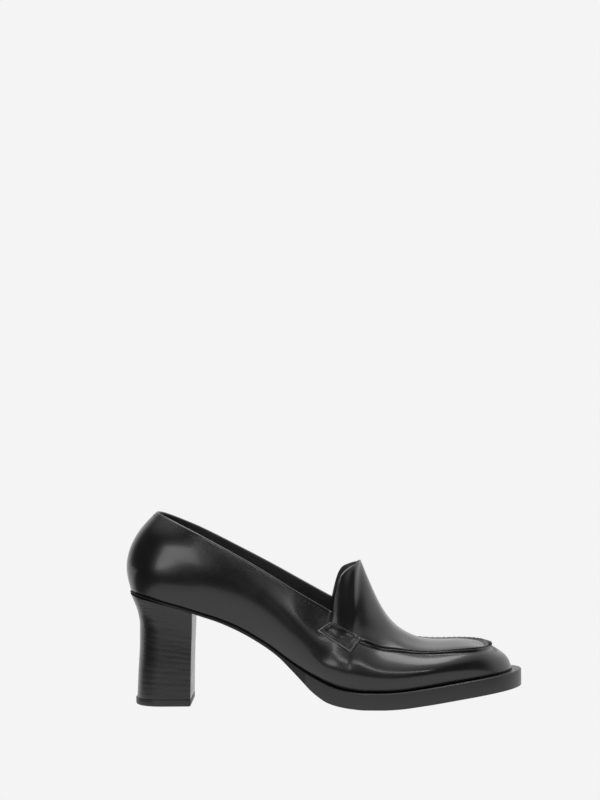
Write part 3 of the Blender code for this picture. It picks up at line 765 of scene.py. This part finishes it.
def along_path(points, normals, pitch):
    """Even stations along a path with its direction and normal at each."""
    run = np.concatenate([[0], np.cumsum(np.linalg.norm(np.diff(points, axis=0), axis=1))])
    count = int(run[-1] / pitch)
    at = (np.arange(count) + 0.5) * run[-1] / count
    place = np.stack([np.interp(at, run, points[:, k]) for k in range(3)], axis=1)
    normal = np.stack([np.interp(at, run, normals[:, k]) for k in range(3)], axis=1)
    normal /= np.linalg.norm(normal, axis=1)[:, None]
    ahead = np.stack([np.interp(at + pitch / 4, run, points[:, k]) for k in range(3)], axis=1)
    behind = np.stack([np.interp(at - pitch / 4, run, points[:, k]) for k in range(3)], axis=1)
    along = ahead - behind
    along /= np.linalg.norm(along, axis=1)[:, None]
    return place, along, normal


def add_stitches(build, points, normals, pitch=STITCH_PITCH, length=STITCH_LENGTH):
    """Short thread humps laid along a path, their ends sunk in the leather."""
    for place, along, normal in zip(*along_path(points, normals, pitch)):
        side = np.cross(normal, along)
        rings = []
        for share in (-0.5, -0.36, 0.0, 0.36, 0.5):
            swell = math.sqrt(max(0.0, 1 - (2 * share) ** 2 * 0.96))
            centre = place + along * share * length + normal * STITCH_RADIUS * (0.55 * swell - 0.35)
            for k in range(STITCH_SIDES):
                turn = 2 * math.pi * k / STITCH_SIDES
                spoke = side * math.cos(turn) + normal * math.sin(turn) * 0.8
                rings.append(centre + spoke * STITCH_RADIUS * (0.35 + 0.65 * swell))
        faces = []
        for i in range(4):
            low, high = i * STITCH_SIDES, (i + 1) * STITCH_SIDES
            for k in range(STITCH_SIDES):
                after = (k + 1) % STITCH_SIDES
                faces.append([low + k, high + k, high + after, low + after])
        faces.append(list(range(STITCH_SIDES)))
        faces.append([4 * STITCH_SIDES + k for k in range(STITCH_SIDES)][::-1])
        build.add(rings, faces)


def line_below(outer, normal, columns, drop):
    """Points on the wall a fixed way below its top edge."""
    points, normals = [], []
    for i in columns:
        lengths = np.linalg.norm(np.diff(outer[i], axis=0), axis=1)
        run = np.concatenate([[0], np.cumsum(lengths)])
        at = run[-1] - drop
        points.append([np.interp(at, run, outer[i, :, k]) for k in range(3)])
        normals.append([np.interp(at, run, normal[i, :, k]) for k in range(3)])
    return np.array(points), np.array(normals)


def topline_stitches(ring, outer, normal, thread):
    count = len(ring)
    index = section_index(ring)
    side = [i for i in range(count // 2) if index[i] <= JUNCTION - STITCH_STOP]
    columns = [-i for i in side[::-1]] + side[1:]
    build = Build()
    points, normals = line_below(outer, normal, columns, TOPLINE_STITCH)
    add_stitches(build, points, normals)
    inside = []
    for i in columns:
        run = np.concatenate([[0], np.cumsum(np.linalg.norm(np.diff(outer[i], axis=0), axis=1))])
        at = run[-1] - LINING_STITCH
        place = np.array([np.interp(at, run, outer[i, :, k]) for k in range(3)])
        out = np.array([np.interp(at, run, normal[i, :, k]) for k in range(3)])
        inside.append((place - out * WALL, -out))
    add_stitches(build, np.array([p for p, _ in inside]), np.array([n for _, n in inside]))
    build.piece("topline_thread", (thread,), None, "upper_leather")


def fine_tab(side, leather, edge, thread):
    """Tab with a rounded cut edge, a slight dimple and a row of stitches inside its edge."""
    across, down = TAB_FINE
    corners = np.array(TAB_CORNERS)
    x = BACK_X + corners[:, 0] * SHOE_LENGTH
    corners = np.column_stack([x, sole_top(x) + corners[:, 1] * QUARTER_HEIGHT])
    top_back, low_back, low_front, top_front = corners

    def spread(a, b):
        upper = top_back * (1 - a) + top_front * a
        lower = low_back * (1 - a) + low_front * a
        return upper * (1 - b) + lower * b

    width = np.linalg.norm(top_front - top_back)
    height = np.linalg.norm(low_back - top_back)
    s_values = eased(across, TAB_CROWD / width)
    t_values = eased(down, TAB_CROWD / height)
    shares = np.array([(a, b) for a in s_values for b in t_values])
    places = np.array([spread(a, b) for a, b in shares])
    at, up = on_wall(places[:, 0], places[:, 1], side)
    points, normal, _ = surface_frame(at, up)
    inset = np.minimum.reduce([
        shares[:, 0] * width, (1 - shares[:, 0]) * width,
        shares[:, 1] * height, (1 - shares[:, 1]) * height,
    ])
    rounding = np.sqrt(np.clip(1 - (1 - np.clip(inset / TAB_ROUND, 0, 1)) ** 2, 0, 1))
    dimple = TAB_DIMPLE * smooth_step(inset, *TAB_DIMPLE_RUN)
    trench = TAB_TRENCH * bell(inset, TAB_STITCH, TAB_TRENCH_WIDTH)
    waves = TAB_WAVE * np.sin(places[:, 0] * 620 + 1) * np.sin(places[:, 1] * 540)
    lift = TAB_GAP + TAB_THICKNESS * (0.50 + 0.50 * rounding) - dimple - trench + waves * rounding
    tuck = smooth_step(shares[:, 1] * height, 0, TAB_TUCK)
    over = points + normal * (lift * tuck)[:, None]
    under = points + normal * (TAB_SUNK * (2 * tuck - 1))[:, None]
    index = np.arange(across * down).reshape(across, down)
    faces = grid_faces(index, False)
    build = Build()
    total = across * down
    # Faces round the rounded edge take the lighter cut-edge material: partly the edge's own tone,
    # partly a painted highlight
    rim = {n for n in range(total) if inset[n] < TAB_ROUND * 0.7 and shares[n, 1] * height > TAB_TUCK}
    cut = [face for face in faces if any(v in rim for v in face)]
    flat = [face for face in faces if not any(v in rim for v in face)]
    build.add(over, [face[::-1] for face in flat + cut], 0)
    build.slots[len(flat):] = [1] * len(cut)
    build.add(under, faces, 0)
    border = list(index[:, 0]) + list(index[-1, 1:]) + list(index[-2::-1, -1]) + list(index[0, -2:0:-1])
    for a, b in zip(border, border[1:] + border[:1]):
        build.faces.append([int(v) for v in (b, a, a + total, b + total)])
        build.slots.append(1)
    piece = build.piece(
        "tab_skin_" + side, (leather, edge), "tab_" + side,
        "outer_tab_leather" if side == "lateral" else "inner_tab_leather",
    )
    clean_mesh(piece.data)
    threads = Build()
    a0, b0 = TAB_STITCH / width, TAB_STITCH / height
    frame_path = [(a0, b0), (1 - a0, b0), (1 - a0, 1 - b0), (a0, 1 - b0), (a0, b0)]
    for (a1, b1), (a2, b2) in zip(frame_path, frame_path[1:]):
        share = np.linspace(0, 1, 24)
        path = np.array([spread(a1 + (a2 - a1) * q, b1 + (b2 - b1) * q) for q in share])
        at, up = on_wall(path[:, 0], path[:, 1], side)
        points, normal, _ = surface_frame(at, up)
        level = points + normal * (TAB_GAP + TAB_THICKNESS - TAB_SUNK)
        add_stitches(threads, level, normal, *TAB_STITCHES)
    threads.piece("tab_thread_" + side, (thread,), None, "upper_leather")


def eased(count, edge):
    """Shares from 0 to 1 that crowd toward both ends."""
    share = np.linspace(0, 1, count)
    return share - np.sin(2 * math.pi * share) * (1 - 4 * edge) / (2 * math.pi) * 0.75


def ladder(build, rings, slot=0):
    points, faces = stacked(rings, len(rings[0]))
    build.add(points, faces, slot)


def rim_rings(low, high):
    """Inset and height pairs: a rounded lower rim and a small chamfer on the upper rim."""
    pairs = []
    for step in range(4):
        turn = math.pi / 2 * step / 3
        rise = low * (1 - math.cos(turn))
        pairs.append((low * (1 - math.sin(turn)), lambda x, rise=rise: sole_under(x) + rise))
    pairs.append((0, lambda x: np.maximum(sole_top(x) - high, sole_under(x) + 1.5 * low)))
    pairs.append((high, sole_top))
    return pairs


def build_sole(rubber, waist):
    half = ring_places(SOLE_STEP)
    ring = np.concatenate([half, (KNOTS[-1] - half[1:-1])[::-1]])
    build = Build()
    rings = []
    for inset, height in rim_rings(SOLE_LOW_ROUND, SOLE_TOP_CHAMFER):
        line = outline_at(ring, np.full(len(ring), inset))
        rings.append(np.column_stack([line, height(line[:, 0])]))
    ladder(build, rings)
    # Faces behind the waist's end take the waist material: its darker tone is painted shade under the
    # arch, its higher roughness is real
    front = BACK_X + WAIST_END * SHOE_LENGTH
    for number, face in enumerate(build.faces):
        if sum(build.points[v][0] for v in face) / len(face) < front:
            build.slots[number] = 1
    piece = build.piece("sole_skin", (rubber, waist), "outsole", "sole_rubber", 30)
    clean_mesh(piece.data)


def build_insole(leather):
    half = ring_places(SOLE_STEP)
    ring = np.concatenate([half, (KNOTS[-1] - half[1:-1])[::-1]])
    lean = np.maximum(0, -ring_value("belly", ring)) * HALF_BALL
    inset = ring_value("ledge", ring) * HALF_BALL + WALL + 2 * CLEARANCE + lean
    build = Build()
    rings = []
    for extra, rise in SOCK_RIM:
        line = outline_at(ring, inset + extra)
        height = sole_top(line[:, 0]) + CLEARANCE + INSOLE_THICKNESS * rise
        rings.append(np.column_stack([line, height]))
    ladder(build, rings)
    piece = build.piece("sock_skin", (leather,), "insole", "sock_leather", 50)
    clean_mesh(piece.data)


def fine_heel_ring(back, breast, side, inset, height):
    """The heel's D shape with a small round at each breast corner."""
    back, breast = back * HEEL_LENGTH + inset, breast * HEEL_LENGTH - inset
    side = side * HEEL_WIDTH / 2 - inset
    run = (breast - back) * HEEL_ROUND_SHARE
    corner = HEEL_CORNER
    turn = np.linspace(0, 1, HEEL_ROUND_POINTS) ** HEEL_CROWDING
    straight = np.linspace(back + run, breast - corner, HEEL_SIDE_POINTS)
    x = np.concatenate([back + run * turn, straight[1:]])
    reach = np.clip((back + run - x) / run, 0, 1)
    y = side * (1 - reach**HEEL_ROUND) ** (1 / HEEL_ROUND)
    arc = np.linspace(0, math.pi / 2, HEEL_CORNER_POINTS)[1:]
    x = np.concatenate([x, breast - corner + corner * np.sin(arc)])
    y = np.concatenate([y, side - corner + corner * np.cos(arc)])
    lateral = np.stack([x, -y], axis=1)
    ring = np.concatenate([lateral, (lateral * (1, -1))[:0:-1]])
    return np.column_stack([ring, height(ring[:, 0])])


def heel_at(share):
    """Back, breast and side of the heel at a share of its height."""
    heights = column(HEEL_SECTIONS, HEEL_COLUMNS, "height")
    return [float(monotone(heights, column(HEEL_SECTIONS, HEEL_COLUMNS, name), np.array([share]))[0])
            for name in ("back", "breast", "side")]


def build_heel(leather, rubber):
    base = LIFT_THICKNESS + CLEARANCE
    tall = sole_under(np.array([0.0]))[0] - CLEARANCE - base
    layers = int(round(tall / HEEL_LAYER))
    build = Build()
    rings = []
    for layer in range(layers):
        for place, inset in HEEL_LAYER_ROWS:
            rings.append(heel_level((layer + place) / layers, inset, base))
    rings.append(heel_level(1.0, HEEL_GROOVE, base))
    ladder(build, rings)
    piece = build.piece("heel_skin", (leather,), "heel", "heel_leather", 55)
    clean_mesh(piece.data)
    _, back, breast, side = HEEL_SECTIONS[0]
    lift = Build()
    rings = []
    for inset, height in LIFT_RIM:
        rings.append(fine_heel_ring(
            back - LIFT_BACK_OUT, breast, side + LIFT_SIDE_OUT, inset,
            lambda x, z=height: np.full(len(x), z),
        ))
    ladder(lift, rings)
    piece = lift.piece("lift_skin", (rubber,), "top_lift", "lift_rubber", 55)
    clean_mesh(piece.data)


def heel_level(share, inset, base):
    back, breast, side = heel_at(share)

    def level(x):
        return base + share * (sole_under(x) - CLEARANCE - base)

    return fine_heel_ring(back, breast, side, inset, level)


def add_node(tree, kind, **values):
    node = tree.nodes.new(kind)
    for name, value in values.items():
        if hasattr(node, name) and name not in node.inputs:
            setattr(node, name, value)
        else:
            node.inputs[name.replace("_", " ")].default_value = value
    return node


def link(tree, source, output, target, socket):
    tree.links.new(source.outputs[output], target.inputs[socket])


def surface(name, color, lighter, roughness, coat, grain, strength, layers):
    """Leather or rubber: fine grain and slow unevenness in bump, tone and gloss."""
    material = bpy.data.materials.new(name)
    material.use_nodes = True
    tree = material.node_tree
    shader = tree.nodes["Principled BSDF"]
    shader.inputs["Coat Weight"].default_value = coat
    shader.inputs["Coat Roughness"].default_value = 0.12
    shader.inputs["IOR"].default_value = 1.5
    where = add_node(tree, "ShaderNodeTexCoord")
    scale = add_node(tree, "ShaderNodeMapping")
    scale.inputs["Scale"].default_value = (1, 1, LAYER_STRETCH if layers else 1)
    link(tree, where, "Object", scale, "Vector")
    cells = add_node(tree, "ShaderNodeTexVoronoi")
    cells.inputs["Scale"].default_value = grain
    fine = add_node(tree, "ShaderNodeTexNoise")
    fine.inputs["Scale"].default_value = grain * 1.7
    fine.inputs["Detail"].default_value = 3
    slow = add_node(tree, "ShaderNodeTexNoise")
    slow.inputs["Scale"].default_value = 45
    slow.inputs["Detail"].default_value = 4
    for texture in (cells, fine, slow):
        link(tree, scale, "Vector", texture, "Vector")
    mixed = add_node(tree, "ShaderNodeMath", operation="MULTIPLY_ADD")
    mixed.inputs[1].default_value = 0.6
    link(tree, cells, "Distance", mixed, 0)
    link(tree, fine, "Fac", mixed, 2)
    small = add_node(tree, "ShaderNodeBump")
    small.inputs["Strength"].default_value = strength
    small.inputs["Distance"].default_value = 0.00012
    link(tree, mixed, "Value", small, "Height")
    large = add_node(tree, "ShaderNodeBump")
    large.inputs["Strength"].default_value = 0.30
    large.inputs["Distance"].default_value = 0.0006
    link(tree, slow, "Fac", large, "Height")
    link(tree, small, "Normal", large, "Normal")
    link(tree, large, "Normal", shader, "Normal")
    tone = add_node(tree, "ShaderNodeValToRGB")
    tone.color_ramp.elements[0].position = 0.35
    tone.color_ramp.elements[1].position = 0.75
    tone.color_ramp.elements[0].color = (*color, 1)
    tone.color_ramp.elements[1].color = (*lighter, 1)
    link(tree, slow, "Fac", tone, "Fac")
    link(tree, tone, "Color", shader, "Base Color")
    gloss = add_node(tree, "ShaderNodeMapRange")
    gloss.inputs["From Min"].default_value = 0.3
    gloss.inputs["From Max"].default_value = 0.7
    gloss.inputs["To Min"].default_value = roughness * 0.88
    gloss.inputs["To Max"].default_value = roughness * 1.15
    link(tree, slow, "Fac", gloss, "Value")
    link(tree, gloss, "Result", shader, "Roughness")
    if layers:
        bands = add_node(tree, "ShaderNodeTexWave", bands_direction="Z", wave_profile="SAW")
        bands.inputs["Scale"].default_value = layers
        bands.inputs["Distortion"].default_value = 1.2
        bands.inputs["Detail"].default_value = 3
        bands.inputs["Detail Scale"].default_value = 2.0
        link(tree, where, "Object", bands, "Vector")
        ridges = add_node(tree, "ShaderNodeBump")
        ridges.inputs["Strength"].default_value = 0.05
        ridges.inputs["Distance"].default_value = 0.00015
        link(tree, bands, "Fac", ridges, "Height")
        link(tree, ridges, "Normal", small, "Normal")
    return material


def emission(name, color, strength):
    material = bpy.data.materials.new(name)
    material.use_nodes = True
    tree = material.node_tree
    tree.nodes.clear()
    light = add_node(tree, "ShaderNodeEmission")
    light.inputs["Color"].default_value = (*color, 1)
    light.inputs["Strength"].default_value = strength
    out = add_node(tree, "ShaderNodeOutputMaterial")
    link(tree, light, "Emission", out, "Surface")
    return material


def build_floor():
    size = 60.0
    left, right = FLOOR_SIDES
    outline = (
        (-size, FLOOR_BACK), (left, FLOOR_BACK), (left, FLOOR_FRONT), (right, FLOOR_FRONT),
        (right, FLOOR_BACK), (size, FLOOR_BACK), (size, size), (-size, size),
    )
    corners = [(x, y, -0.0002) for x, y in outline]
    mesh = bpy.data.meshes.new("floor")
    mesh.from_pydata(corners, [], [tuple(range(len(corners)))])
    mesh.materials.append(emission("pale_floor", (STUDIO_GREY,) * 3, 1.0))
    floor = bpy.data.objects.new("floor", mesh)
    bpy.context.scene.collection.objects.link(floor)


STUDIO_GREY = 0.905
ROOM_GREY = 0.055
ROOM_TURN = 0.35
FLOOR_FRONT = -0.24
FLOOR_BACK = 0.10
FLOOR_SIDES = (-0.12, 0.30)


def build_world():
    """Pale studio round the shoe, with a darker room on the camera's side."""
    world = bpy.data.worlds.new("studio")
    world.use_nodes = True
    tree = world.node_tree
    back = tree.nodes["Background"]
    where = add_node(tree, "ShaderNodeTexCoord")
    parts = add_node(tree, "ShaderNodeSeparateXYZ")
    link(tree, where, "Generated", parts, "Vector")
    front = add_node(tree, "ShaderNodeMapRange", interpolation_type="SMOOTHSTEP")
    front.inputs["From Min"].default_value = 0.62
    front.inputs["From Max"].default_value = 0.02
    side = add_node(tree, "ShaderNodeMath", operation="MULTIPLY_ADD")
    side.inputs[1].default_value = ROOM_TURN
    link(tree, parts, "X", side, 0)
    link(tree, parts, "Y", side, 2)
    link(tree, side, "Value", front, "Value")
    low = add_node(tree, "ShaderNodeMapRange", interpolation_type="SMOOTHSTEP")
    low.inputs["From Min"].default_value = 0.95
    low.inputs["From Max"].default_value = 0.60
    link(tree, parts, "Z", low, "Value")
    both = add_node(tree, "ShaderNodeMath", operation="MULTIPLY")
    link(tree, front, "Result", both, 0)
    link(tree, low, "Result", both, 1)
    level = add_node(tree, "ShaderNodeMapRange")
    level.inputs["To Min"].default_value = STUDIO_GREY
    level.inputs["To Max"].default_value = ROOM_GREY
    link(tree, both, "Value", level, "Value")
    link(tree, level, "Result", back, "Color")
    bpy.context.scene.world = world


def add_light(name, place, target, size, power):
    lamp = bpy.data.lights.new(name, "AREA")
    lamp.shape = "RECTANGLE"
    lamp.size, lamp.size_y = size
    lamp.energy = power
    light = bpy.data.objects.new(name, lamp)
    light.location = place
    light.rotation_euler = (Vector(target) - Vector(place)).to_track_quat("-Z", "Y").to_euler()
    bpy.context.scene.collection.objects.link(light)


def build_camera():
    angles = (CAMERA_AZIMUTH, CAMERA_ELEVATION, CAMERA_ROLL)
    azimuth, elevation, roll = (math.radians(angle) for angle in angles)
    right = Vector((math.cos(azimuth), math.sin(azimuth), 0))
    ahead = Vector((-math.sin(azimuth) * math.cos(elevation), math.cos(azimuth) * math.cos(elevation),
                    -math.sin(elevation)))
    up = right.cross(ahead)
    across = (AIM_PIXEL[0] - ORIGIN_PIXEL[0]) * METRES_PER_PIXEL
    rise = (ORIGIN_PIXEL[1] - AIM_PIXEL[1]) * METRES_PER_PIXEL - across * math.tan(roll)
    aim = right * across + up * rise
    turned_right = right * math.cos(roll) - up * math.sin(roll)
    turned_up = up * math.cos(roll) + right * math.sin(roll)
    lens = bpy.data.cameras.new("camera")
    lens.sensor_fit = "VERTICAL"
    lens.sensor_height = SENSOR
    lens.lens = SENSOR * CAMERA_DISTANCE / (FRAME_HEIGHT * METRES_PER_PIXEL)
    lens.shift_x = (FRAME_WIDTH / 2 - AIM_PIXEL[0]) / FRAME_HEIGHT
    lens.shift_y = (AIM_PIXEL[1] - FRAME_HEIGHT / 2) / FRAME_HEIGHT
    lens.clip_end = 200
    camera = bpy.data.objects.new("camera", lens)
    matrix = Matrix((
        (turned_right.x, turned_up.x, -ahead.x, 0),
        (turned_right.y, turned_up.y, -ahead.y, 0),
        (turned_right.z, turned_up.z, -ahead.z, 0),
        (0, 0, 0, 1),
    ))
    camera.matrix_world = Matrix.Translation(aim - ahead * CAMERA_DISTANCE) @ matrix
    bpy.context.scene.collection.objects.link(camera)
    bpy.context.scene.camera = camera


# Darker and lighter tone, roughness, coat, grain's fineness, bump and layers of each material
MATERIALS = (
    ("polished_calf", (0.0060, 0.0060, 0.0064), (0.0100, 0.0100, 0.0105), 0.28, 0.25, 1500, 0.10, 0),
    # Cut edges of upper and tab: lighter grey, partly the cut leather's own tone and partly a painted
    # highlight along the rounded rims
    ("cut_rim_highlight", (0.11, 0.108, 0.106), (0.16, 0.158, 0.155), 0.42, 0.10, 900, 0.20, 0),
    ("tab_cut_rim_highlight", (0.11, 0.108, 0.106), (0.17, 0.168, 0.165), 0.42, 0.10, 900, 0.20, 0),
    ("lining_leather", (0.060, 0.059, 0.058), (0.085, 0.084, 0.083), 0.50, 0.00, 1100, 0.20, 0),
    ("tab_calf", (0.0055, 0.0055, 0.0060), (0.0100, 0.0100, 0.0105), 0.30, 0.20, 1400, 0.16, 0),
    ("sock_calf", (0.012, 0.012, 0.012), (0.020, 0.020, 0.020), 0.50, 0.00, 1000, 0.20, 0),
    ("sole_edge_rubber", (0.016, 0.016, 0.017), (0.022, 0.022, 0.023), 0.34, 0.00, 1300, 0.12, 0),
    # Waist edge: the sole rubber darkened as painted shade under the arch, and rougher
    ("waist_edge_shade", (0.006, 0.006, 0.006), (0.009, 0.009, 0.009), 0.60, 0.00, 1300, 0.12, 0),
    ("waxed_stack", (0.011, 0.011, 0.0115), (0.016, 0.0155, 0.0155), 0.27, 0.10, 1200, 0.10, 45),
    ("lift_edge_rubber", (0.018, 0.018, 0.018), (0.026, 0.026, 0.026), 0.50, 0.00, 1300, 0.20, 0),
    ("thread", (0.016, 0.016, 0.016), (0.030, 0.030, 0.030), 0.45, 0.00, 3000, 0.20, 0),
)
LAYER_STRETCH = 6

# Place, target, size and power of each soft light
LIGHTS = (
    ("overhead", (0.10, 0.10, 1.30), (0.10, 0.00, 0.05), (1.00, 0.70), 9.0),
    ("window", (-0.60, -1.35, 0.54), (0.06, 0.00, 0.07), (0.66, 0.40), 3.4),
    ("front_strip", (0.24, -1.30, 0.92), (0.14, 0.00, 0.04), (0.80, 0.14), 2.3),
)


def main():
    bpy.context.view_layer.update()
    skins = {row[0]: surface(*row) for row in MATERIALS}
    thread = skins["thread"]
    # cut is the cut-edge material, which carries a painted highlight along the rims
    calf, cut, lining = skins["polished_calf"], skins["cut_rim_highlight"], skins["lining_leather"]
    ring, outer, normal = build_upper(calf, cut, lining)
    topline_stitches(ring, outer, normal, thread)
    for side in ("lateral", "medial"):
        fine_tab(side, skins["tab_calf"], skins["tab_cut_rim_highlight"], thread)
    build_sole(skins["sole_edge_rubber"], skins["waist_edge_shade"])
    build_insole(skins["sock_calf"])
    build_heel(skins["waxed_stack"], skins["lift_edge_rubber"])
    build_floor()
    build_world()
    for row in LIGHTS:
        add_light(*row)
    build_camera()
    bpy.context.scene.view_settings.view_transform = "Standard"


main()
